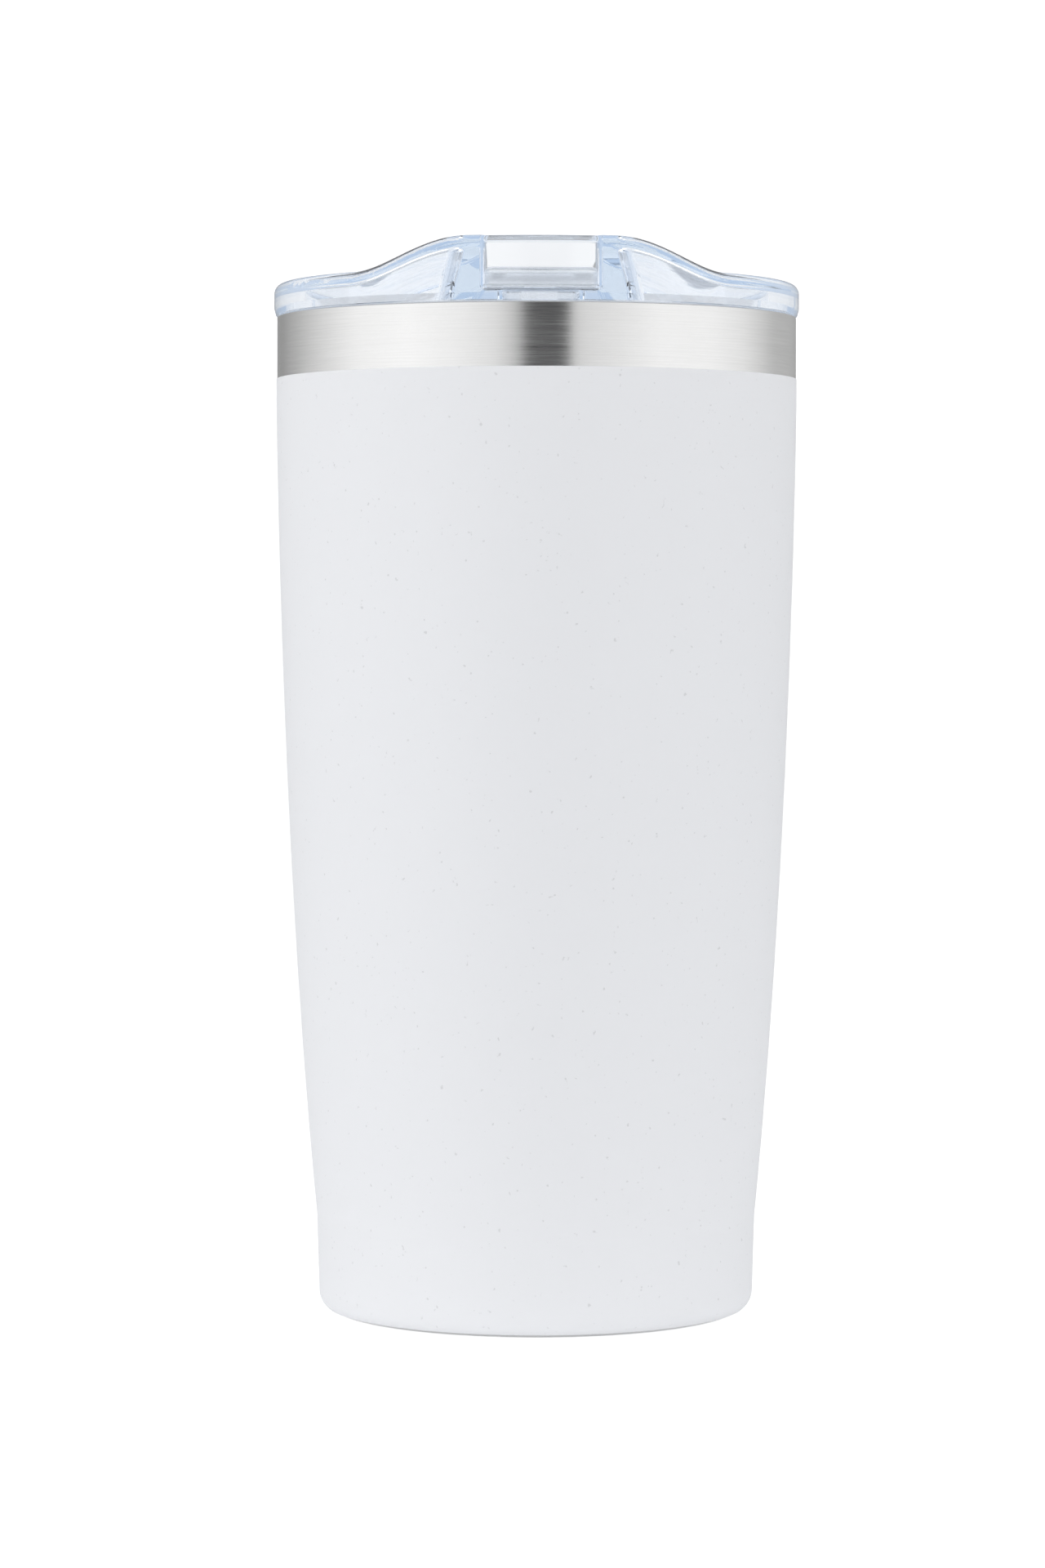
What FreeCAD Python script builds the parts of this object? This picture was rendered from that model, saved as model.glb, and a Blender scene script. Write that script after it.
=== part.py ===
"""Insulated tumbler with a clear press-in lid and a thumb slide.

The origin is the centre of the foot, on the surface that the tumbler stands on. +Z is up, and -Y is the side
that faces the drinker, where the drinking hole is. The lid's bridge and its channel run along Y.
All sizes are in millimetres.
"""
import FreeCAD, Part
import math
import os

from FreeCAD import Vector

# Tumbler, outer shell: radii of the steel's outer face and the heights where the outline changes
STEEL = 0.5             # sheet thickness of the outer shell
TOP_R = 43.85           # straight cylinder under the mouth
LIP_Z = 167.4           # height of the lip
BEND_Z = 153.5          # the cylinder ends here and the long taper begins
KNEE_R = 36.88          # the taper ends here, above the near-vertical foot ring
KNEE_Z = 15.9
KNEE_LEAN = 0.098       # radius gained per millimetre of height at the knee
LEAN_REACH = 63.6       # how far up the taper that lean is felt
BEND_REACH = 1.0        # how far down the taper the cylinder's direction is felt
RING_R = 36.5           # foot ring, just above the rounded corner
CORNER_R = 3.2          # rounded corner between the foot ring and the foot
MIN_CORNER_R = 0.5      # an inner layer's corner is never sharper
FOOT_HOLE_R = 31.0      # opening in the foot, which the base parts close
LIP_ROUND = 0.4
OUTSIDE_R = 60.0        # clear of the whole side, for cutting layers off level
INSIDE_R = 5.0
OVERSHOOT = 1.0         # cutters run this far past a surface

# Powder coat on the outer shell
COAT = 0.12
COAT_LOW_Z = 0.6
COAT_HIGH_Z = 156.8     # bare steel shows above this

# Inner liner: a cup inside the shell, with a wider seat for the lid's plug at its mouth
LINER = 0.45
LINER_DEPTH = 3.6       # from the shell's outer face to the liner's outer face
LINER_LOW_Z = 16.0      # weld to the liner's bottom
MOUTH_R = 42.5          # seat for the lid's plug
SEAT_LOW_Z = 157.0
WELD_DEEP = 1.6         # the liner meets the shell over this depth at the lip
CUP_FLOOR_Z = 7.0       # underside of the cup's bottom
CUP_CORNER_R = 6.5

# Copper wrap, getter and base
FOIL = 0.1
FOIL_LOW_Z = 20.0
FOIL_HIGH_Z = 146.0
BASE_R = 33.2           # vacuum base, lapped on the foot's inner face
BASE_STEP_R = 29.0
BASE_RISE = 2.4
STEP_RUN = 1.0          # a step in the base slopes over this width
STEP_SHIFT = 0.4        # its upper face is shifted outwards, to keep the sheet even
DIMPLE_R = 6.0
DIMPLE_RISE = 1.0
PUMP_HOLE_R = 1.0
BEAD_R = 3.2
BEAD_SAG = 1.1
BEAD_FULLNESS = 0.7     # a low rounded drop, not a cone
COVER = 0.4
COVER_R = 30.9
COVER_LOW_Z = 0.1
COVER_RECESS_R = 26.5
COVER_RECESS = 0.9
COVER_RUN = 0.8
COVER_SHIFT = 0.3
COVER_ROUND = 0.2
GETTER_R = 4.0
GETTER_HIGH = 1.8
GETTER_AT = 17.0        # distance from the axis
GETTER_ROUND = 0.4
CLIP = 0.3
CLIP_WIDE = 3.0
CLIP_GAP = 0.1
CLIP_FOOT = 2.0

# Lid: flange, plug skirt and gasket
FLANGE_R = 44.35
FLANGE_LOW_Z = 167.5
FLANGE_HIGH_Z = 172.75
FLANGE_ROUND = 1.6
FLANGE_TUCK = 0.3       # the flange's lower edge is drawn in by this much
TUCK_RISE = 1.1
LID_WALL = 1.5
SKIRT_LOW_Z = 158.2
SKIRT_R = 41.7
SKIRT_HOLLOW_R = 39.3
SKIRT_BEVEL = 0.8
SKIRT_ROOT = 0.5        # how far the skirt's wall runs up into the flange
GROOVE_LOW_Z = 161.2
GROOVE_HIGH_Z = 164.2
GROOVE_R = 40.4
GASKET_R = 42.3
GASKET_BAND_R = 41.5
GASKET_SLACK = 0.1      # above and below, in the groove
FIN_SPREAD = 0.7        # half height of a wiper fin at its root, as a share of its spacing

# Lid: the bridge from front to back, and the channel along it
BRIDGE_TOP_Z = 177.9
BRIDGE_FOOT_X = 30.0    # half width where the slopes meet the flange
BRIDGE_TOP_X = 12.0     # half width of the flat top
SLOPE_FOOT_REACH = 5.0
SLOPE_TOP_REACH = 7.5
CHANNEL_HALF = 9.7
WALL_AT_TOP = 1.3       # thickness of the channel's side walls, which widen downwards
WALL_AT_FOOT = 4.0
CHANNEL_FLOOR_Z = 168.9
CHANNEL_END_R = 42.9
CHANNEL_CORNER_R = 1.4
CHANNEL_FLOOR_R = 1.0
HOLLOW_CORNER_R = 2.0
HOLLOW_ROOF_R = 0.8
CHANNEL_LIP_R = 0.4
DRINK_WIDE = 14.0
DRINK_LONG = 8.5
DRINK_FRONT_Y = -41.0
DRINK_ROUND = 3.0
SLOT_ROUND = 1.0
VENT_R = 1.2
VENT_Y = 30.0

# Thumb slide and the shoe that keeps it in
SLIDE_TRAVEL = 14.0
SLIDE_WIDE = 18.7
SLIDE_FRONT_Y = -41.3
SLIDE_LONG = 36.3
SLIDE_LOW_Z = 169.05
SLIDE_HIGH_Z = 172.85
SLIDE_BEVEL = 1.2
SLIDE_ROUND = 2.0
SLIDE_UNDER_R = 1.0
GRIP_COUNT = 5
GRIP_PITCH = 2.4
GRIP_WIDE = 1.1
GRIP_ROUND = 0.54
GRIP_DEEP = 0.6
GRIP_LONG = 12.0
GRIP_Y = -23.0
STEM_WIDE = 5.0
STEM_LONG = 8.0
STEM_Y = -24.0
STEM_CLEAR = 0.3
STEM_ROOT = 0.5         # how far the stem runs up into the slide
SHOE_WIDE = 13.0
SHOE_LONG = 15.0
SHOE = 1.5
SHOE_ROUND = 2.0
SHOE_TOP_Z = 167.35

AXIS = Vector(0, 0, 1)
ORIGIN = Vector(0, 0, 0)
EXACT = 1e-6
CLOSE = 1e-3


def edges_along(start, moves):
    """Edges in the XZ plane from a start point. A move is a point for a straight run, a list of a middle and
    an end point for an arc, or a list of two handles and an end point for a cubic curve."""
    edges = []
    here = start
    for move in moves:
        points = [here] + move if isinstance(move, list) else [here, move]
        vectors = [Vector(r, 0, z) for r, z in points]
        if len(vectors) == 2:
            edge = Part.makeLine(*vectors)
        elif len(vectors) == 3:
            edge = Part.Arc(*vectors).toShape()
        else:
            curve = Part.BezierCurve()
            curve.setPoles(vectors)
            edge = curve.toShape()
        edges.append(edge)
        here = points[-1]
    return edges


def section(start, *moves):
    """A flat face in the XZ plane, closed by a straight run back to its start."""
    return Part.Face(Part.Wire(edges_along(start, list(moves) + [start])))


def lathe(start, *moves):
    """A solid turned about the tumbler's axis from half a section."""
    return section(start, *moves).revolve(ORIGIN, AXIS, 360)


def arc_point(centre, radius, degrees):
    """A point on a circle in the XZ plane, with the angle counted up from the +X direction."""
    turn = math.radians(degrees)
    return (centre[0] + radius * math.cos(turn), centre[1] + radius * math.sin(turn))


def ring(outer_r, inner_r, low_z, high_z):
    return lathe((inner_r, low_z), (outer_r, low_z), (outer_r, high_z), (inner_r, high_z))


def cylinder(radius, low_z, high_z, x=0.0, y=0.0):
    return Part.makeCylinder(radius, high_z - low_z, Vector(x, y, low_z))


def block(wide, front_y, back_y, low_z, high_z, middle_x=0.0):
    corner = Vector(middle_x - wide / 2, front_y, low_z)
    return Part.makeBox(wide, back_y - front_y, high_z - low_z, corner)


def upright_edges(shape, lean=EXACT):
    """Edges that run up, for rounding the corners of a plate, hole or hollow. Lean is the most that one may
    move sideways for each millimetre up."""
    found = []
    for edge in shape.Edges:
        start, end = edge.Vertexes[0].Point, edge.Vertexes[-1].Point
        if math.hypot(start.x - end.x, start.y - end.y) < lean * abs(start.z - end.z):
            found.append(edge)
    return found


def rounded_block(wide, front_y, back_y, low_z, high_z, corner_r):
    plate = block(wide, front_y, back_y, low_z, high_z)
    return plate.makeFillet(corner_r, upright_edges(plate))


def circles_at(shape, radius, z):
    """Full circular edges of a turned solid with this radius and height."""
    found = []
    for edge in shape.Edges:
        if isinstance(edge.Curve, Part.Circle) and abs(edge.Curve.Radius - radius) < CLOSE:
            if abs(edge.Curve.Center.z - z) < CLOSE:
                found.append(edge)
    return found


def level_edges(shape, z):
    """Edges that lie level at a height."""
    return [edge for edge in shape.Edges
            if abs(edge.BoundBox.ZMin - z) < EXACT and edge.BoundBox.ZLength < EXACT]


# ---- Tumbler ------------------------------------------------------------------------------------------

def side_down(depth):
    """The tumbler's side from the bend down to the foot, at a depth under the steel's outer face."""
    bend = (TOP_R - depth, BEND_Z)
    knee = (KNEE_R - depth, KNEE_Z)
    bend_handle = (bend[0], BEND_Z - BEND_REACH)
    knee_handle = (knee[0] + KNEE_LEAN * LEAN_REACH, KNEE_Z + LEAN_REACH)
    radius = max(CORNER_R - depth, MIN_CORNER_R)
    centre = (RING_R - depth - radius, depth + radius)
    ring_end = (RING_R - depth, centre[1])
    foot = (centre[0], depth)
    return [bend, [bend_handle, knee_handle, knee], ring_end, [arc_point(centre, radius, -45), foot]]


def reversed_moves(start, moves):
    """The same run, walked from its end back to its start."""
    points = [start]
    for move in moves:
        points.append(move[-1] if isinstance(move, list) else move)
    back = []
    for place in range(len(moves) - 1, -1, -1):
        move = moves[place]
        handles = list(reversed(move[:-1])) if isinstance(move, list) else []
        back.append(handles + [points[place]] if handles else points[place])
    return points[-1], back


def side_sleeve(outer_depth, inner_depth, low_z, high_z):
    """The layer of the tumbler's side between two depths, cut off level at two heights."""
    outer_start = (TOP_R - outer_depth, LIP_Z)
    inner_start = (TOP_R - inner_depth, LIP_Z)
    inner_foot, inner_up = reversed_moves(inner_start, side_down(inner_depth))
    layer = lathe(outer_start, *side_down(outer_depth), inner_foot, *inner_up)
    return layer.common(ring(OUTSIDE_R, INSIDE_R, low_z, high_z))


def outer_wall():
    """Drawn shell: the whole side, the lip and the turned-in foot."""
    start = (TOP_R, LIP_Z)
    down = side_down(0.0)
    inner_start = (TOP_R - STEEL, LIP_Z)
    inner_foot, inner_up = reversed_moves(inner_start, side_down(STEEL))
    shell = lathe(start, *down, (FOOT_HOLE_R, 0.0), (FOOT_HOLE_R, STEEL), inner_foot, *inner_up)
    return shell.makeFillet(LIP_ROUND, circles_at(shell, TOP_R, LIP_Z))


def powder_coat():
    return side_sleeve(-COAT, 0.0, COAT_LOW_Z, COAT_HIGH_Z)


def inner_liner():
    """Cup wall, with an S-shaped shoulder up to the wider seat and a flare that is welded at the lip."""
    wall = side_sleeve(LINER_DEPTH, LINER_DEPTH + LINER, LINER_LOW_Z, BEND_Z)
    inner_r = TOP_R - LINER_DEPTH - LINER
    outer_r = inner_r + LINER
    seat_outer_r = MOUTH_R + LINER
    flare_r = TOP_R - STEEL
    rise = SEAT_LOW_Z - BEND_Z
    inner_up = [(inner_r, BEND_Z + rise / 2), (MOUTH_R, BEND_Z + rise / 2), (MOUTH_R, SEAT_LOW_Z)]
    outer_down = [(seat_outer_r, BEND_Z + rise / 2 - LINER / 2), (outer_r, BEND_Z + rise / 2 - LINER / 2),
                  (outer_r, BEND_Z)]
    mouth = lathe((inner_r, BEND_Z), inner_up, (MOUTH_R, LIP_Z), (flare_r, LIP_Z),
                  (flare_r, LIP_Z - WELD_DEEP),
                  (seat_outer_r, LIP_Z - WELD_DEEP - LINER), (seat_outer_r, SEAT_LOW_Z), outer_down)
    liner = wall.fuse(mouth).removeSplitter()
    return liner.makeFillet(LIP_ROUND, circles_at(liner, MOUTH_R, LIP_Z))


def liner_bottom():
    """Cup bottom with a rounded corner, butt-welded to the liner's lower edge."""
    outer = side_sleeve(LINER_DEPTH, LINER_DEPTH + LINER, LINER_LOW_Z, LINER_LOW_Z + OVERSHOOT)
    outer_r = outer.optimalBoundingBox().XMax - KNEE_LEAN
    centre = (outer_r - CUP_CORNER_R, CUP_FLOOR_Z + CUP_CORNER_R)
    inner_corner = CUP_CORNER_R - LINER
    return lathe((0, CUP_FLOOR_Z), (centre[0], CUP_FLOOR_Z),
                 [arc_point(centre, CUP_CORNER_R, -45), (outer_r, centre[1])],
                 (outer_r, LINER_LOW_Z), (outer_r - LINER, LINER_LOW_Z), (outer_r - LINER, centre[1]),
                 [arc_point(centre, inner_corner, -45), (centre[0], CUP_FLOOR_Z + LINER)],
                 (0, CUP_FLOOR_Z + LINER))


def copper_foil():
    return side_sleeve(LINER_DEPTH - FOIL, LINER_DEPTH, FOIL_LOW_Z, FOIL_HIGH_Z)


def vacuum_base():
    """Disc lapped on the foot's inner face, stepped up, with a pump-out hole in a central dimple."""
    low, high = STEEL, 2 * STEEL
    step_low, step_high = low + BASE_RISE, high + BASE_RISE
    roof_low, roof_high = step_low + DIMPLE_RISE, step_high + DIMPLE_RISE
    step_r, dimple_r = BASE_STEP_R + STEP_SHIFT, DIMPLE_R + STEP_SHIFT
    return lathe((PUMP_HOLE_R, roof_low), (DIMPLE_R - STEP_RUN, roof_low), (DIMPLE_R, step_low),
                 (BASE_STEP_R - STEP_RUN, step_low), (BASE_STEP_R, low), (BASE_R, low), (BASE_R, high),
                 (step_r, high), (step_r - STEP_RUN, step_high), (dimple_r, step_high),
                 (dimple_r - STEP_RUN, roof_high), (PUMP_HOLE_R, roof_high))


def seal_bead():
    """Glass bead that fills the pump-out hole and spreads under it in the dimple."""
    roof_low = STEEL + BASE_RISE + DIMPLE_RISE
    roof_high = roof_low + STEEL
    middle = (BEAD_R * BEAD_FULLNESS, roof_low - BEAD_SAG * BEAD_FULLNESS)
    return lathe((0, roof_low - BEAD_SAG), [middle, (BEAD_R, roof_low)],
                 (PUMP_HOLE_R, roof_low), (PUMP_HOLE_R, roof_high), (0, roof_high))


def base_cover():
    """Thin disc in the foot, with a shallow round recess, which hides the seal."""
    low, high = COVER_LOW_Z, COVER_LOW_Z + COVER
    upper_r = COVER_RECESS_R + COVER_SHIFT
    cover = lathe((0, low + COVER_RECESS), (COVER_RECESS_R - COVER_RUN, low + COVER_RECESS),
                  (COVER_RECESS_R, low), (COVER_R, low), (COVER_R, high), (upper_r, high),
                  (upper_r - COVER_RUN, high + COVER_RECESS), (0, high + COVER_RECESS))
    return cover.makeFillet(COVER_ROUND, circles_at(cover, COVER_R, low))


def getter_seat_z():
    return 2 * STEEL + BASE_RISE


def getter():
    low = getter_seat_z()
    pill = cylinder(GETTER_R, low, low + GETTER_HIGH, y=GETTER_AT)
    return pill.makeFillet(GETTER_ROUND, circles_at(pill, GETTER_R, low + GETTER_HIGH))


def getter_clip():
    """Bent strap over the getter, with a foot welded to the base on each side."""
    low = getter_seat_z()
    top = low + GETTER_HIGH
    leg = GETTER_R + CLIP_GAP
    foot = leg + CLIP + CLIP_FOOT
    bend = [(-foot, low), (-leg, low), (-leg, top), (leg, top), (leg, low), (foot, low), (foot, low + CLIP),
            (leg + CLIP, low + CLIP), (leg + CLIP, top + CLIP), (-leg - CLIP, top + CLIP),
            (-leg - CLIP, low + CLIP), (-foot, low + CLIP)]
    strap = section(bend[0], *bend[1:]).extrude(Vector(0, CLIP_WIDE, 0))
    strap.translate(Vector(0, GETTER_AT - CLIP_WIDE / 2, 0))
    return strap


# ---- Lid ----------------------------------------------------------------------------------------------

def bridge_prism(thinner, low_z):
    """The bridge's section from side to side, run from front to back and moved in by a wall thickness."""
    top_z = BRIDGE_TOP_Z - thinner
    foot_z = FLANGE_HIGH_Z - thinner
    foot_x = BRIDGE_FOOT_X - thinner / 2
    top_x = BRIDGE_TOP_X - thinner / 2
    right_up = [(foot_x - SLOPE_FOOT_REACH, foot_z), (top_x + SLOPE_TOP_REACH, top_z), (top_x, top_z)]
    left_down = [(-top_x - SLOPE_TOP_REACH, top_z), (-foot_x + SLOPE_FOOT_REACH, foot_z), (-foot_x, foot_z)]
    far_x = FLANGE_R + OVERSHOOT
    face = section((far_x, low_z), (far_x, foot_z), (foot_x, foot_z), right_up, (-top_x, top_z), left_down,
                   (-far_x, foot_z), (-far_x, low_z))
    prism = face.extrude(Vector(0, 2 * far_x, 0))
    prism.translate(Vector(0, -far_x, 0))
    return prism


def rim_edges(shape):
    """The upper outer edge of the lid, along the flange and over the bridge's two ends."""
    found = []
    for edge in shape.Edges:
        points = edge.discretize(9)
        on_rim = all(abs(math.hypot(p.x, p.y) - FLANGE_R) < CLOSE for p in points)
        if on_rim and all(p.z > FLANGE_HIGH_Z - CLOSE for p in points):
            found.append(edge)
    return found


def lid_puck():
    """The lid's solid outer form above the cup's lip: flange and bridge with one rounded upper edge."""
    above = BRIDGE_TOP_Z + OVERSHOOT
    drum = lathe((0, FLANGE_LOW_Z), (FLANGE_R - FLANGE_TUCK, FLANGE_LOW_Z),
                 (FLANGE_R, FLANGE_LOW_Z + TUCK_RISE), (FLANGE_R, above), (0, above))
    puck = drum.common(bridge_prism(0.0, FLANGE_LOW_Z)).removeSplitter()
    return puck.makeFillet(FLANGE_ROUND, rim_edges(puck))


def skirt():
    """Plug wall that enters the cup, with a groove for the gasket and a bevelled lower edge."""
    root_z = FLANGE_LOW_Z + SKIRT_ROOT
    return lathe((SKIRT_HOLLOW_R, SKIRT_LOW_Z), (SKIRT_R - SKIRT_BEVEL, SKIRT_LOW_Z),
                 (SKIRT_R, SKIRT_LOW_Z + SKIRT_BEVEL), (SKIRT_R, GROOVE_LOW_Z), (GROOVE_R, GROOVE_LOW_Z),
                 (GROOVE_R, GROOVE_HIGH_Z), (SKIRT_R, GROOVE_HIGH_Z), (SKIRT_R, root_z),
                 (SKIRT_HOLLOW_R, root_z))


def lid_hollow(side):
    """Space under the lid's roof on one side of the channel: -1 is the left, 1 the right. The wall between it
    and the channel is thin at the top and widens downwards."""
    low, high = FLANGE_LOW_Z - OVERSHOOT, BRIDGE_TOP_Z
    hollow = bridge_prism(LID_WALL, low).common(cylinder(SKIRT_HOLLOW_R, low, high))
    foot_x, top_x = CHANNEL_HALF + WALL_AT_FOOT, CHANNEL_HALF + WALL_AT_TOP
    half = section((side * foot_x, low), (side * FLANGE_R, low), (side * FLANGE_R, high),
                   (side * top_x, high))
    half = half.extrude(Vector(0, 2 * FLANGE_R, 0))
    half.translate(Vector(0, -FLANGE_R, 0))
    hollow = hollow.common(half).removeSplitter()
    hollow = hollow.makeFillet(HOLLOW_CORNER_R, upright_edges(hollow, 1.0))
    roof = [edge for edge in hollow.Edges if edge.BoundBox.ZMin > FLANGE_LOW_Z]
    return hollow.makeFillet(HOLLOW_ROOF_R, roof)


def channel_cut():
    """The open channel along the bridge: its ends follow the rim, and its corners and floor are rounded."""
    above = BRIDGE_TOP_Z + OVERSHOOT
    trough = block(2 * CHANNEL_HALF, -FLANGE_R, FLANGE_R, CHANNEL_FLOOR_Z, above)
    trough = trough.common(cylinder(CHANNEL_END_R, CHANNEL_FLOOR_Z, above))
    trough = trough.makeFillet(CHANNEL_CORNER_R, upright_edges(trough))
    return trough.makeFillet(CHANNEL_FLOOR_R, level_edges(trough, CHANNEL_FLOOR_Z))


def floor_holes():
    """Drinking hole, slot for the slide's stem and vent hole, all through the channel's floor."""
    low, high = FLANGE_LOW_Z - OVERSHOOT, CHANNEL_FLOOR_Z + OVERSHOOT
    drink = rounded_block(DRINK_WIDE, DRINK_FRONT_Y, DRINK_FRONT_Y + DRINK_LONG, low, high, DRINK_ROUND)
    slot_front = STEM_Y - STEM_LONG / 2 - STEM_CLEAR
    slot_back = STEM_Y + STEM_LONG / 2 + SLIDE_TRAVEL + STEM_CLEAR
    slot = rounded_block(STEM_WIDE + 2 * STEM_CLEAR, slot_front, slot_back, low, high, SLOT_ROUND)
    vent = cylinder(VENT_R, low, high, y=VENT_Y)
    return drink.fuse([slot, vent])


def lid_body():
    """One moulding, with a softened edge round the channel's mouth."""
    lid = lid_puck().fuse(skirt()).removeSplitter()
    lid = lid.cut(lid_hollow(-1)).cut(lid_hollow(1)).cut(channel_cut()).removeSplitter()
    inside = CHANNEL_HALF + CLOSE
    mouth = [edge for edge in level_edges(lid, BRIDGE_TOP_Z)
             if edge.BoundBox.XMin > -inside and edge.BoundBox.XMax < inside]
    return lid.makeFillet(CHANNEL_LIP_R, mouth).cut(floor_holes()).removeSplitter()


def lid_gasket():
    """Silicone ring in the plug's groove, with two wiper fins."""
    low = GROOVE_LOW_Z + GASKET_SLACK
    high = GROOVE_HIGH_Z - GASKET_SLACK
    fin = (high - low) / 4
    moves = []
    for fin_z in (low + fin, high - fin):
        moves.append((GASKET_BAND_R, fin_z - fin * FIN_SPREAD))
        moves.append([(GASKET_R, fin_z), (GASKET_BAND_R, fin_z + fin * FIN_SPREAD)])
    return lathe((GROOVE_R, low), (GASKET_BAND_R, low), *moves, (GASKET_BAND_R, high), (GROOVE_R, high))


# ---- Slide --------------------------------------------------------------------------------------------

def stem(low_z):
    return block(STEM_WIDE, STEM_Y - STEM_LONG / 2, STEM_Y + STEM_LONG / 2, low_z, SLIDE_LOW_Z + STEM_ROOT)


def thumb_slide():
    """Plate that runs in the channel, with a bevelled top edge, grip grooves and a stem through the floor."""
    back_y = SLIDE_FRONT_Y + SLIDE_LONG
    plate = rounded_block(SLIDE_WIDE, SLIDE_FRONT_Y, back_y, SLIDE_LOW_Z, SLIDE_HIGH_Z, SLIDE_ROUND)
    plate = plate.makeFillet(SLIDE_BEVEL, level_edges(plate, SLIDE_HIGH_Z))
    plate = plate.makeFillet(SLIDE_UNDER_R, level_edges(plate, SLIDE_LOW_Z))
    for place in range(GRIP_COUNT):
        middle_y = GRIP_Y + (place - (GRIP_COUNT - 1) / 2) * GRIP_PITCH
        groove = rounded_block(GRIP_LONG, middle_y - GRIP_WIDE / 2, middle_y + GRIP_WIDE / 2,
                               SLIDE_HIGH_Z - GRIP_DEEP, SLIDE_HIGH_Z + OVERSHOOT, GRIP_ROUND)
        plate = plate.cut(groove)
    return plate.fuse(stem(SHOE_TOP_Z - SHOE)).removeSplitter()


def slide_shoe():
    """Plate under the channel's floor, snapped onto the stem."""
    low = SHOE_TOP_Z - SHOE
    front_y = STEM_Y - SHOE_LONG / 2
    shoe = rounded_block(SHOE_WIDE, front_y, front_y + SHOE_LONG, low, SHOE_TOP_Z, SHOE_ROUND)
    return shoe.cut(stem(low - OVERSHOOT))


PIECES = [outer_wall, powder_coat, inner_liner, liner_bottom, copper_foil, vacuum_base, seal_bead, base_cover,
          getter, getter_clip, lid_body, lid_gasket, thumb_slide, slide_shoe]

os.makedirs("parts", exist_ok=True)
for piece in PIECES:
    shape = piece()
    solid = shape.Solids[0] if len(shape.Solids) == 1 else shape
    solid.exportStep(os.path.join("parts", piece.__name__ + ".step"))
    box = solid.optimalBoundingBox()
    print("%-14s solids %d valid %s volume %10.1f  x %.2f..%.2f y %.2f..%.2f z %.2f..%.2f" % (
        piece.__name__, len(shape.Solids), solid.isValid(), solid.Volume,
        box.XMin, box.XMax, box.YMin, box.YMax, box.ZMin, box.ZMax))
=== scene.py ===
import math

import bpy
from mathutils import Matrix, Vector


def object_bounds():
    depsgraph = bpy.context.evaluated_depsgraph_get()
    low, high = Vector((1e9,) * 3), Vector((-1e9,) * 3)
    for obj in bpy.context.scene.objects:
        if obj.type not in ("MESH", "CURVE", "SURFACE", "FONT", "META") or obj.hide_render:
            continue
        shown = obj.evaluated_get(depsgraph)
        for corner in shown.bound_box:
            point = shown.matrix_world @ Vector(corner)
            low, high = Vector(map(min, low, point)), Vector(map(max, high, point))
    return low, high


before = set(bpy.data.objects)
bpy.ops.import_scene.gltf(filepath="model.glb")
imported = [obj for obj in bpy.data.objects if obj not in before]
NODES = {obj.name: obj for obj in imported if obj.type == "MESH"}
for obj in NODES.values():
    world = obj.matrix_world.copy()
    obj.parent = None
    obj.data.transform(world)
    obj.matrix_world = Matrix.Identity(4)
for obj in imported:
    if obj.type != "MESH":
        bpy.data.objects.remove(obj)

LOW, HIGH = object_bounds()
HEIGHT = HIGH.z - LOW.z

# ---- Camera, in metres and degrees ----

SENSOR = 36.0
CAMERA_DISTANCE = 0.7743        # from the tumbler's axis
CAMERA_LENS = 105.0
CAMERA_AZIMUTH = -1.0
CAMERA_ROLL = -0.06
EYE_LEVEL = 0.1162              # the lid is seen from a little below, the foot from above
SHIFT_RIGHT = -0.0088
SHIFT_UP = -0.1046
CLIP_NEAR, CLIP_FAR = 0.05, 20.0

# ---- Studio: paper bowl, air and lamps ----

SIDES = 96                      # of everything that is round in the studio
BOWL_RADIUS = 2.6
BOWL_SWEEP = 0.9
BOWL_SWEEP_STEPS = 16
BOWL_HIGH = 3.2
BOWL_DROP = 0.0001              # the floor is this far under the foot
BOWL_ROUGH = 0.9
BOWL_GLOW = 0.08
BOWL_GLOW_COLOUR = (0.97, 0.985, 1.0)
BOWL_LIFT = 0.52                # keeps the paper white in the picture without lighting the tumbler more
BOWL_LIFT_THROUGH = 0.40        # the same, behind clear plastic
POOL_GLOW = 0.15                # the floor glows more strongly round the tumbler's foot
POOL_RADIUS = 0.45
PAPER_SCALE = 40.0
PAPER_DARK = (0.90, 0.90, 0.90)
PAPER_LIGHT = (0.92, 0.92, 0.92)
AIR_COLOUR = (0.93, 0.96, 1.0)
AIR_STRENGTH = 0.20
SKY_STRENGTH = 0.95             # what the camera, gloss and clear plastic see above the bowl

# Each soft box: name, azimuth, distance, width, height, height of its centre, radiance.
SOFTBOXES = (("left_softbox", -63, 1.35, 2.1, 2.2, 0.7, 1.00),
             ("right_softbox", 64, 1.35, 1.9, 2.2, 0.7, 0.81))

# ---- What the steel mirrors ----

RING_RADIUS = 1.3
RING_LOW, RING_HIGH = -0.3, 0.6
RING_COLOUR = (1.0, 1.0, 0.995)
# Brightness by the angle round the tumbler, 0 in front of it and 90 at its right: soft white walls at both
# sides, a narrow dark gap at the camera and dimmer corners behind.
REFLECTIONS = ((-180, 0.34), (-152, 0.34), (-130, 0.55), (-108, 0.84), (-86, 1.14), (-58, 1.26),
               (-36, 1.14), (-18, 0.96), (-9, 0.62), (-5, 0.03), (12, 0.02), (15, 0.86), (30, 0.97),
               (54, 1.18), (80, 1.15), (100, 0.98), (126, 0.58), (150, 0.50), (172, 0.34))

# ---- Powder coat: noise scales in features per metre, bump depth in metres ----

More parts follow.
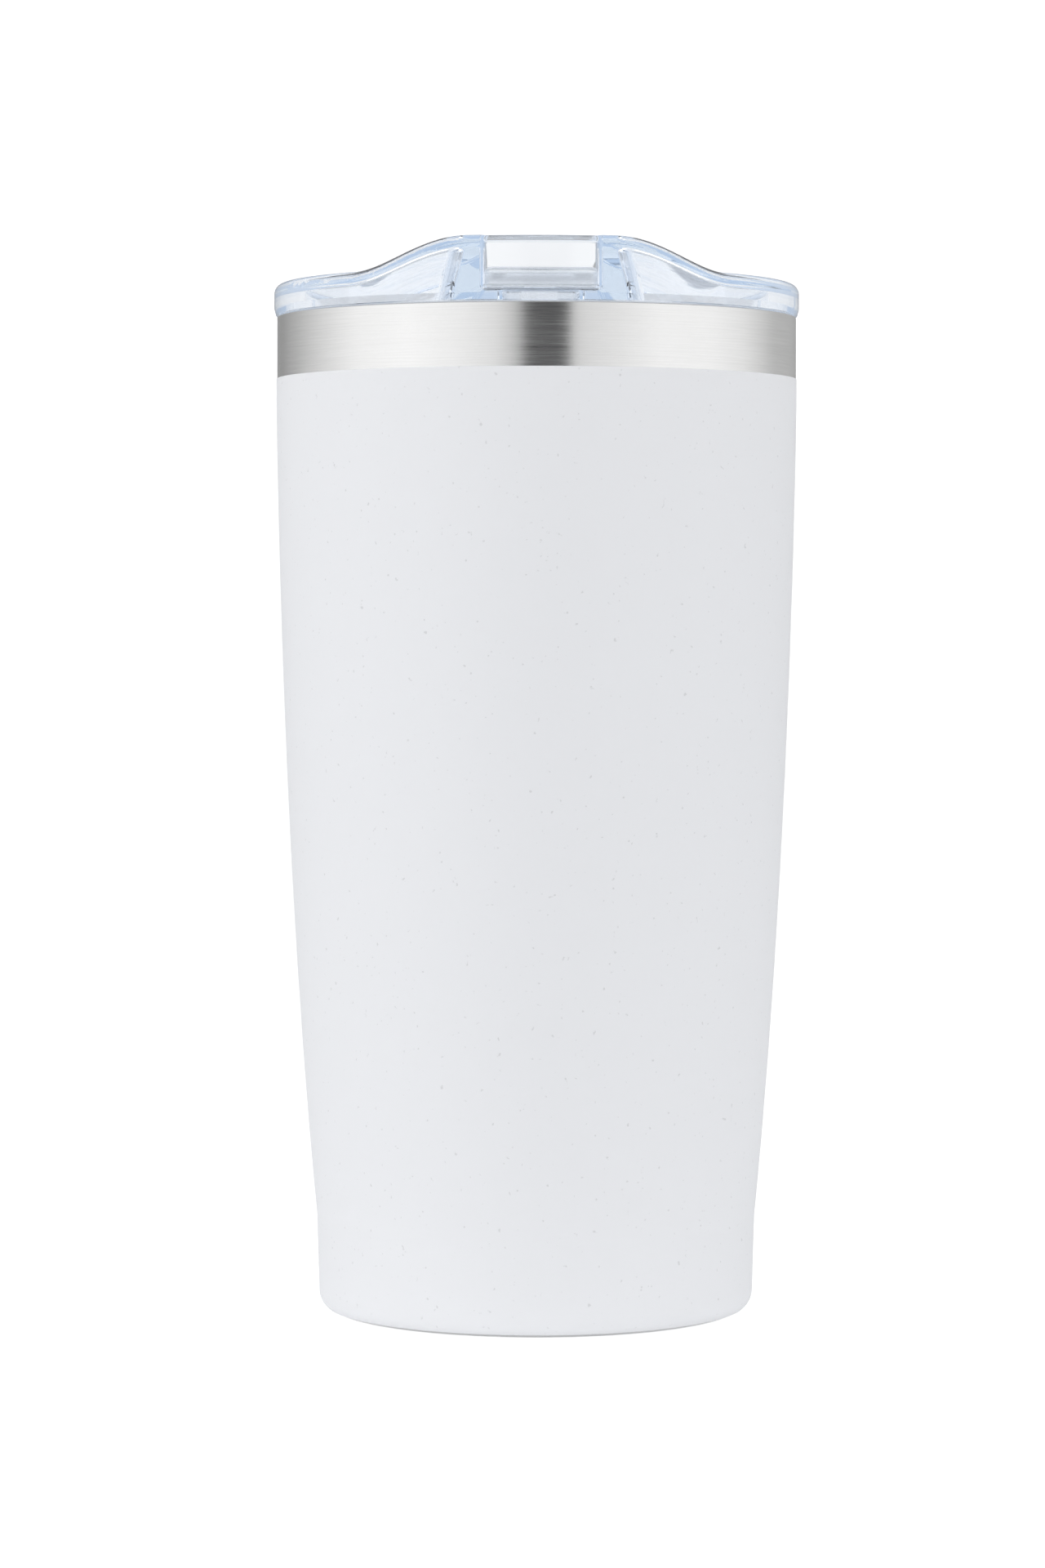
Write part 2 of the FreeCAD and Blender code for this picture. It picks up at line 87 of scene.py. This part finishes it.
COAT_COLOUR = (0.88, 0.885, 0.905)
COAT_GRAIN = 1500.0
COAT_PEEL = 420.0
COAT_GRAIN_SHARE = 0.5          # of the grain in the bump, next to the peel
COAT_ROUGH = (0.50, 0.62)
COAT_BUMP = 0.18
COAT_DEPTH = 0.00012
COAT_IOR = 1.45
SPECK_COLOUR = (0.74, 0.745, 0.76)
SPECK_SCALE = 1300.0
SPECK_EDGE = (0.715, 0.79)      # noise levels where a speck starts and where it is full

# ---- Brushed steel ----

STREAK_ROUND = 4.0              # features round the tumbler, of the fine and the broad streaks
BROAD_ROUND = 1.5
BROAD_WIDER = 6                 # how much wider the broad streaks are
STREAK_SHARE = 0.65
STREAK_LEAN = 0.7               # lets streaks also cross surfaces that lie flat
STREAK_DARKER = 0.93
STREAK_DEPTH = 0.00002
BRUSHED_ANISOTROPY = 0.7
BRUSHED_TURN = 0.25

# ---- Clear plastic ----

PLASTIC_IOR = 1.50
PLASTIC_ABSORBS = (0.48, 0.66, 0.84)
RIPPLE_SCALE = 60.0
RIPPLE_BUMP = 0.08
RIPPLE_DEPTH = 0.0003
SHADOW_TINT = (0.90, 0.94, 0.98)
DEEPEST = 9.5                   # light is followed this far into the lid, and the rest is a painted pale glow
MOST_REFLECTIONS = 3.5

# ---- Plain worked surfaces ----

GRAIN_DARKER = 0.9
GRAIN_GLOSS = (0.85, 1.15)
GRAIN_DEPTH = 0.0001

FINE_NOISE = (3.0, 0.6)         # detail and roughness
SMOOTH_NOISE = 1.0              # detail
WHOLE = (0.0, 1.0)
NOISE_MIDDLE = (0.3, 0.7)       # the noise levels that a material's range is spread over
NOISE_NARROW = (0.35, 0.65)


def new_material(name):
    material = bpy.data.materials.new(name)
    material.use_nodes = True
    material.node_tree.nodes.clear()
    return material


class Tree:
    """Short calls for building the nodes of one material, or of the world."""

    def __init__(self, material):
        self.tree = material.node_tree

    def node(self, kind, **settings):
        made = self.tree.nodes.new(kind)
        for name, value in settings.items():
            setattr(made, name, value)
        return made

    def link(self, source, target):
        self.tree.links.new(source, target)

    def math(self, operation, first, second=None):
        made = self.node("ShaderNodeMath", operation=operation)
        for place, value in enumerate((first, second)):
            if value is None:
                continue
            if isinstance(value, (int, float)):
                made.inputs[place].default_value = value
            else:
                self.link(value, made.inputs[place])
        return made.outputs[0]

    def noise(self, vector, scale, detail=2.0, roughness=0.5):
        made = self.node("ShaderNodeTexNoise")
        self.link(vector, made.inputs["Vector"])
        made.inputs["Scale"].default_value = scale
        made.inputs["Detail"].default_value = detail
        made.inputs["Roughness"].default_value = roughness
        return made.outputs["Fac"]

    def remap(self, value, source, target):
        """Spreads the range source (low, high) over the range target."""
        made = self.node("ShaderNodeMapRange")
        self.link(value, made.inputs["Value"])
        for name, number in zip(("From Min", "From Max", "To Min", "To Max"), (*source, *target)):
            made.inputs[name].default_value = number
        return made.outputs["Result"]

    def blend(self, factor, first, second):
        made = self.node("ShaderNodeMix", data_type="RGBA")
        self.link(factor, made.inputs["Factor"])
        made.inputs["A"].default_value = (*first, 1.0)
        made.inputs["B"].default_value = (*second, 1.0)
        return made.outputs["Result"]

    def object_position(self):
        return self.node("ShaderNodeTexCoord").outputs["Object"]

    def split_position(self):
        split = self.node("ShaderNodeSeparateXYZ")
        self.link(self.object_position(), split.inputs[0])
        return split.outputs

    def bump(self, height, strength, distance):
        made = self.node("ShaderNodeBump")
        made.inputs["Strength"].default_value = strength
        made.inputs["Distance"].default_value = distance
        self.link(height, made.inputs["Height"])
        return made.outputs["Normal"]

    def principled(self, **values):
        made = self.node("ShaderNodeBsdfPrincipled")
        for name, value in values.items():
            socket = made.inputs[name.replace("_", " ")]
            if hasattr(value, "is_output"):
                self.link(value, socket)
            elif isinstance(value, tuple):
                socket.default_value = (*value, 1.0)
            else:
                socket.default_value = value
        return made.outputs[0]

    def glow(self, colour=None):
        made = self.node("ShaderNodeEmission")
        if colour:
            made.inputs["Color"].default_value = (*colour, 1.0)
        return made

    def mix_shaders(self, factor, first, second):
        made = self.node("ShaderNodeMixShader")
        for place, source in enumerate((factor, first, second)):
            self.link(source, made.inputs[place])
        return made.outputs[0]

    def output(self, surface, volume=None):
        made = self.node("ShaderNodeOutputMaterial")
        self.link(surface, made.inputs["Surface"])
        if volume:
            self.link(volume, made.inputs["Volume"])


def powder_coat_material():
    """Matte white powder coat: a fine orange-peel bump and very faint darker specks."""
    material = new_material("powder_coat")
    tree = Tree(material)
    place = tree.object_position()
    grain = tree.noise(place, COAT_GRAIN, *FINE_NOISE)
    peel = tree.noise(place, COAT_PEEL)
    height = tree.math("ADD", tree.math("MULTIPLY", grain, COAT_GRAIN_SHARE), peel)
    speck = tree.remap(tree.noise(place, SPECK_SCALE, SMOOTH_NOISE), SPECK_EDGE, WHOLE)
    tree.output(tree.principled(
        Base_Color=tree.blend(speck, COAT_COLOUR, SPECK_COLOUR),
        Roughness=tree.remap(grain, NOISE_MIDDLE, COAT_ROUGH),
        Normal=tree.bump(height, COAT_BUMP, COAT_DEPTH),
        IOR=COAT_IOR))
    return material


def brushed_place(tree, along, across):
    """Texture coordinates without a seam: long features round the tumbler's axis, fine ones across."""
    x, y, z = tree.split_position()
    radius = tree.math("SQRT", tree.math("ADD", tree.math("MULTIPLY", x, x), tree.math("MULTIPLY", y, y)))
    height = tree.math("ADD", z, tree.math("MULTIPLY", radius, STREAK_LEAN))
    join = tree.node("ShaderNodeCombineXYZ")
    tree.link(tree.math("MULTIPLY", tree.math("DIVIDE", x, radius), along), join.inputs[0])
    tree.link(tree.math("MULTIPLY", tree.math("DIVIDE", y, radius), along), join.inputs[1])
    tree.link(tree.math("MULTIPLY", height, across), join.inputs[2])
    return join.outputs[0]


def brushed_material(name, colour, rough, grooves, strength):
    """Steel brushed round the axis: long fine streaks that change the gloss and the surface."""
    material = new_material(name)
    tree = Tree(material)
    streak = tree.noise(brushed_place(tree, STREAK_ROUND, grooves), 1.0, *FINE_NOISE)
    broad = tree.noise(brushed_place(tree, BROAD_ROUND, grooves / BROAD_WIDER), 1.0)
    both = tree.math("ADD", tree.math("MULTIPLY", streak, STREAK_SHARE),
                     tree.math("MULTIPLY", broad, 1 - STREAK_SHARE))
    darker = tuple(part * STREAK_DARKER for part in colour)
    tree.output(tree.principled(
        Base_Color=tree.blend(tree.remap(both, NOISE_NARROW, WHOLE), darker, colour),
        Metallic=1.0,
        Roughness=tree.remap(both, NOISE_MIDDLE, rough),
        Anisotropic=BRUSHED_ANISOTROPY,
        Anisotropic_Rotation=BRUSHED_TURN,
        Normal=tree.bump(streak, strength, STREAK_DEPTH),
        Tangent=tree.node("ShaderNodeTangent", direction_type="RADIAL", axis="Z").outputs[0]))
    return material


def clear_material(name, tint, density, rough, painted_glow):
    """Clear moulded plastic: polished, tinted more where it is thicker, open to light, and a painted pale
    glow where rays are followed no further.
    """
    material = new_material(name)
    tree = Tree(material)
    ripple = tree.noise(tree.object_position(), RIPPLE_SCALE, SMOOTH_NOISE)
    normal = tree.bump(ripple, RIPPLE_BUMP, RIPPLE_DEPTH)
    plastic = tree.principled(Base_Color=tint, Roughness=rough, IOR=PLASTIC_IOR, Normal=normal,
                              Transmission_Weight=1.0)
    through = tree.node("ShaderNodeBsdfTransparent")
    through.inputs["Color"].default_value = (*SHADOW_TINT, 1.0)
    path = tree.node("ShaderNodeLightPath")
    open_to_light = tree.mix_shaders(path.outputs["Is Shadow Ray"], plastic, through.outputs[0])
    # Rays past DEEPEST bounces, or past MOST_REFLECTIONS glossy bounces, end on a painted pale glow, not
    # black: it stands in for light reflected inside the moulding many times.
    many = tree.math("GREATER_THAN", path.outputs["Ray Depth"], DEEPEST)
    inside = tree.math("GREATER_THAN", path.outputs["Glossy Depth"], MOST_REFLECTIONS)
    lost = tree.mix_shaders(tree.math("MAXIMUM", many, inside), open_to_light,
                            tree.glow(painted_glow).outputs[0])
    volume = tree.node("ShaderNodeVolumeAbsorption")
    volume.inputs["Color"].default_value = (*PLASTIC_ABSORBS, 1.0)
    volume.inputs["Density"].default_value = density
    tree.output(lost, volume.outputs[0])
    return material


def plain_material(name, colour, metallic, rough, grain, strength):
    """A worked surface with a fine grain in its colour, gloss and height."""
    material = new_material(name)
    tree = Tree(material)
    fleck = tree.noise(tree.object_position(), grain, *FINE_NOISE)
    darker = tuple(part * GRAIN_DARKER for part in colour)
    gloss = tuple(rough * part for part in GRAIN_GLOSS)
    tree.output(tree.principled(
        Base_Color=tree.blend(tree.remap(fleck, NOISE_MIDDLE, WHOLE), darker, colour),
        Metallic=metallic,
        Roughness=tree.remap(fleck, NOISE_MIDDLE, gloss),
        Normal=tree.bump(fleck, strength, GRAIN_DEPTH)))
    return material


def dress(material, *names):
    """Puts one material on CAD nodes."""
    for name in names:
        for slot in NODES[name].material_slots:
            slot.material = material


def dress_tumbler():
    dress(powder_coat_material(), "powder_coat")
    dress(brushed_material("band_steel", colour=(0.80, 0.80, 0.80), rough=(0.17, 0.25), grooves=5000.0,
                           strength=0.08), "outer_wall")
    dress(brushed_material("cup_steel", colour=(0.72, 0.71, 0.71), rough=(0.28, 0.42), grooves=2500.0,
                           strength=0.30), "inner_liner", "liner_bottom")
    dress(brushed_material("base_steel", colour=(0.70, 0.70, 0.70), rough=(0.30, 0.45), grooves=3000.0,
                           strength=0.30), "vacuum_base", "base_cover", "getter_clip")
    dress(plain_material("copper", colour=(0.80, 0.42, 0.26), metallic=1.0, rough=0.25, grain=300.0,
                         strength=0.2), "copper_foil")
    dress(plain_material("solder_glass", colour=(0.16, 0.18, 0.18), metallic=0.0, rough=0.15, grain=900.0,
                         strength=0.1), "seal_bead")
    dress(plain_material("getter_alloy", colour=(0.22, 0.22, 0.23), metallic=0.6, rough=0.7, grain=2500.0,
                         strength=0.6), "getter")


def dress_lid():
    # painted_glow is a painted pale glow on the plastic where rays go too deep, not a lamp
    dress(clear_material("clear_plastic", tint=(0.955, 0.967, 0.985), density=8.5, rough=0.02,
                         painted_glow=(0.66, 0.75, 0.88)), "lid_body")
    dress(clear_material("slide_plastic", tint=(0.99, 0.995, 1.0), density=2.5, rough=0.24,
                         painted_glow=(0.95, 1.0, 1.08)), "thumb_slide", "slide_shoe")
    dress(plain_material("silicone", colour=(0.86, 0.88, 0.90), metallic=0.0, rough=0.45, grain=700.0,
                         strength=0.2), "lid_gasket")


def stage_mesh(name, vertices, faces):
    mesh = bpy.data.meshes.new(name)
    mesh.from_pydata(vertices, [], faces)
    mesh.shade_smooth()
    staged = bpy.data.objects.new(name, mesh)
    bpy.context.scene.collection.objects.link(staged)
    return staged


def bowl_points():
    """Half section of the studio bowl: flat floor, curved sweep, straight wall."""
    flat = BOWL_RADIUS - BOWL_SWEEP
    points = [(0.0, 0.0), (flat, 0.0)]
    for step in range(1, BOWL_SWEEP_STEPS + 1):
        turn = math.pi / 2 * step / BOWL_SWEEP_STEPS
        points.append((flat + BOWL_SWEEP * math.sin(turn), BOWL_SWEEP * (1 - math.cos(turn))))
    points.append((BOWL_RADIUS, BOWL_HIGH))
    return points


def paper_material():
    """Pale paper that is brighter to the camera than as a light, and see-through from below."""
    material = new_material("studio_white")
    tree = Tree(material)
    place = tree.object_position()
    away = tree.node("ShaderNodeVectorMath", operation="LENGTH")
    tree.link(place, away.inputs[0])
    paper = tree.principled(
        Base_Color=tree.blend(tree.noise(place, PAPER_SCALE), PAPER_DARK, PAPER_LIGHT),
        Roughness=BOWL_ROUGH,
        Emission_Color=BOWL_GLOW_COLOUR,
        Emission_Strength=tree.remap(away.outputs["Value"], (0.0, POOL_RADIUS),
                                     (BOWL_GLOW + POOL_GLOW, BOWL_GLOW)))
    path = tree.node("ShaderNodeLightPath")
    direct = tree.math("MULTIPLY", path.outputs["Is Camera Ray"], BOWL_LIFT)
    through = tree.math("MULTIPLY", path.outputs["Is Transmission Ray"], BOWL_LIFT_THROUGH)
    lift = tree.glow()
    tree.link(tree.math("MAXIMUM", direct, through), lift.inputs["Strength"])
    both = tree.node("ShaderNodeAddShader")
    tree.link(paper, both.inputs[0])
    tree.link(lift.outputs[0], both.inputs[1])
    # Seen from below, the paper lets the tumbler's underside be looked at.
    below = tree.node("ShaderNodeNewGeometry").outputs["Backfacing"]
    tree.output(tree.mix_shaders(tree.math("MULTIPLY", below, path.outputs["Is Camera Ray"]),
                                 both.outputs[0], tree.node("ShaderNodeBsdfTransparent").outputs[0]))
    return material


def make_bowl():
    """Seamless pale floor and wall, the same from every side."""
    rows = bowl_points()
    vertices = [(0.0, 0.0, 0.0)]
    faces = []
    for radius, z in rows[1:]:
        for side in range(SIDES):
            turn = 2 * math.pi * side / SIDES
            vertices.append((radius * math.cos(turn), radius * math.sin(turn), z))
    for side in range(SIDES):
        after = (side + 1) % SIDES
        faces.append((0, 1 + side, 1 + after))
        for row in range(len(rows) - 2):
            base, above = 1 + row * SIDES, 1 + (row + 1) * SIDES
            faces.append((base + side, above + side, above + after, base + after))
    bowl = stage_mesh("studio_bowl", vertices, faces)
    bowl.location.z = LOW.z - BOWL_DROP
    bowl.data.materials.append(paper_material())


def panel_at(name, azimuth, distance, wide, high, centre_z, radiance):
    """A soft box that faces the object. Azimuth 0 is in front of the tumbler, 90 at its right."""
    light = bpy.data.lights.new(name, "AREA")
    light.shape = "RECTANGLE"
    light.size, light.size_y = wide, high
    light.energy = radiance * math.pi * wide * high
    lamp = bpy.data.objects.new(name, light)
    turn = math.radians(azimuth)
    lamp.location = (distance * math.sin(turn), -distance * math.cos(turn), centre_z)
    aim = Vector((0, 0, HEIGHT / 2)) - lamp.location
    lamp.rotation_euler = aim.to_track_quat("-Z", "Y").to_euler()
    lamp.visible_camera = False
    lamp.visible_glossy = False
    bpy.context.scene.collection.objects.link(lamp)


def reflections_material():
    """A glow that follows REFLECTIONS round the tumbler."""
    material = new_material("reflected_walls")
    tree = Tree(material)
    x, y, _ = tree.split_position()
    round_it = tree.math("ARCTAN2", x, tree.math("MULTIPLY", y, -1.0))
    ramp = tree.node("ShaderNodeFloatCurve")
    tree.link(tree.remap(round_it, (-math.pi, math.pi), WHOLE), ramp.inputs["Value"])
    curve = ramp.mapping.curves[0]
    brightest = max(level for turn, level in REFLECTIONS)
    for turn, level in REFLECTIONS[1:]:
        curve.points.new(turn / 360 + 0.5, level / brightest)
    behind = REFLECTIONS[0][1] / brightest
    curve.points[0].location = (0.0, behind)
    curve.points[-1].location = (1.0, behind)
    for point in curve.points:
        point.handle_type = "VECTOR"
    ramp.mapping.update()
    glow = tree.glow(RING_COLOUR)
    tree.link(tree.math("MULTIPLY", ramp.outputs[0], brightest), glow.inputs["Strength"])
    tree.output(glow.outputs[0])
    return material


def make_reflections():
    """A wall round the tumbler that only reflections see. Its brightness changes smoothly round it."""
    vertices, faces = [], []
    for side in range(SIDES):
        turn = 2 * math.pi * side / SIDES
        x, y = RING_RADIUS * math.cos(turn), RING_RADIUS * math.sin(turn)
        vertices += [(x, y, RING_LOW), (x, y, RING_HIGH)]
        first, after = 2 * side, 2 * ((side + 1) % SIDES)
        faces.append((first, first + 1, after + 1, after))
    wall = stage_mesh("reflected_walls", vertices, faces)
    wall.data.materials.append(reflections_material())
    for kind in ("camera", "diffuse", "transmission", "shadow", "volume_scatter"):
        setattr(wall, "visible_" + kind, False)


def make_world():
    """Pale air: dim as a light, bright where the camera, gloss or clear plastic looks at it."""
    world = bpy.data.worlds.new("studio_air")
    world.use_nodes = True
    tree = Tree(world)
    back = world.node_tree.nodes["Background"]
    back.inputs["Color"].default_value = (*AIR_COLOUR, 1.0)
    path = tree.node("ShaderNodeLightPath")
    seen = tree.math("MAXIMUM", path.outputs["Is Glossy Ray"], path.outputs["Is Transmission Ray"])
    seen = tree.math("MAXIMUM", seen, path.outputs["Is Camera Ray"])
    tree.link(tree.remap(seen, WHOLE, (AIR_STRENGTH, SKY_STRENGTH)), back.inputs["Strength"])
    bpy.context.scene.world = world


def make_camera():
    data = bpy.data.cameras.new("camera")
    data.sensor_width = SENSOR
    data.lens = CAMERA_LENS
    data.shift_x, data.shift_y = SHIFT_RIGHT, SHIFT_UP
    data.clip_start, data.clip_end = CLIP_NEAR, CLIP_FAR
    camera = bpy.data.objects.new("camera", data)
    turn = math.radians(CAMERA_AZIMUTH)
    camera.location = (CAMERA_DISTANCE * math.sin(turn), -CAMERA_DISTANCE * math.cos(turn), EYE_LEVEL)
    camera.rotation_euler = (math.pi / 2, math.radians(CAMERA_ROLL), turn)
    bpy.context.scene.collection.objects.link(camera)
    bpy.context.scene.camera = camera


bpy.context.scene.view_settings.view_transform = "Standard"
make_camera()
make_world()
make_bowl()
for softbox in SOFTBOXES:
    panel_at(*softbox)
make_reflections()
dress_tumbler()
dress_lid()
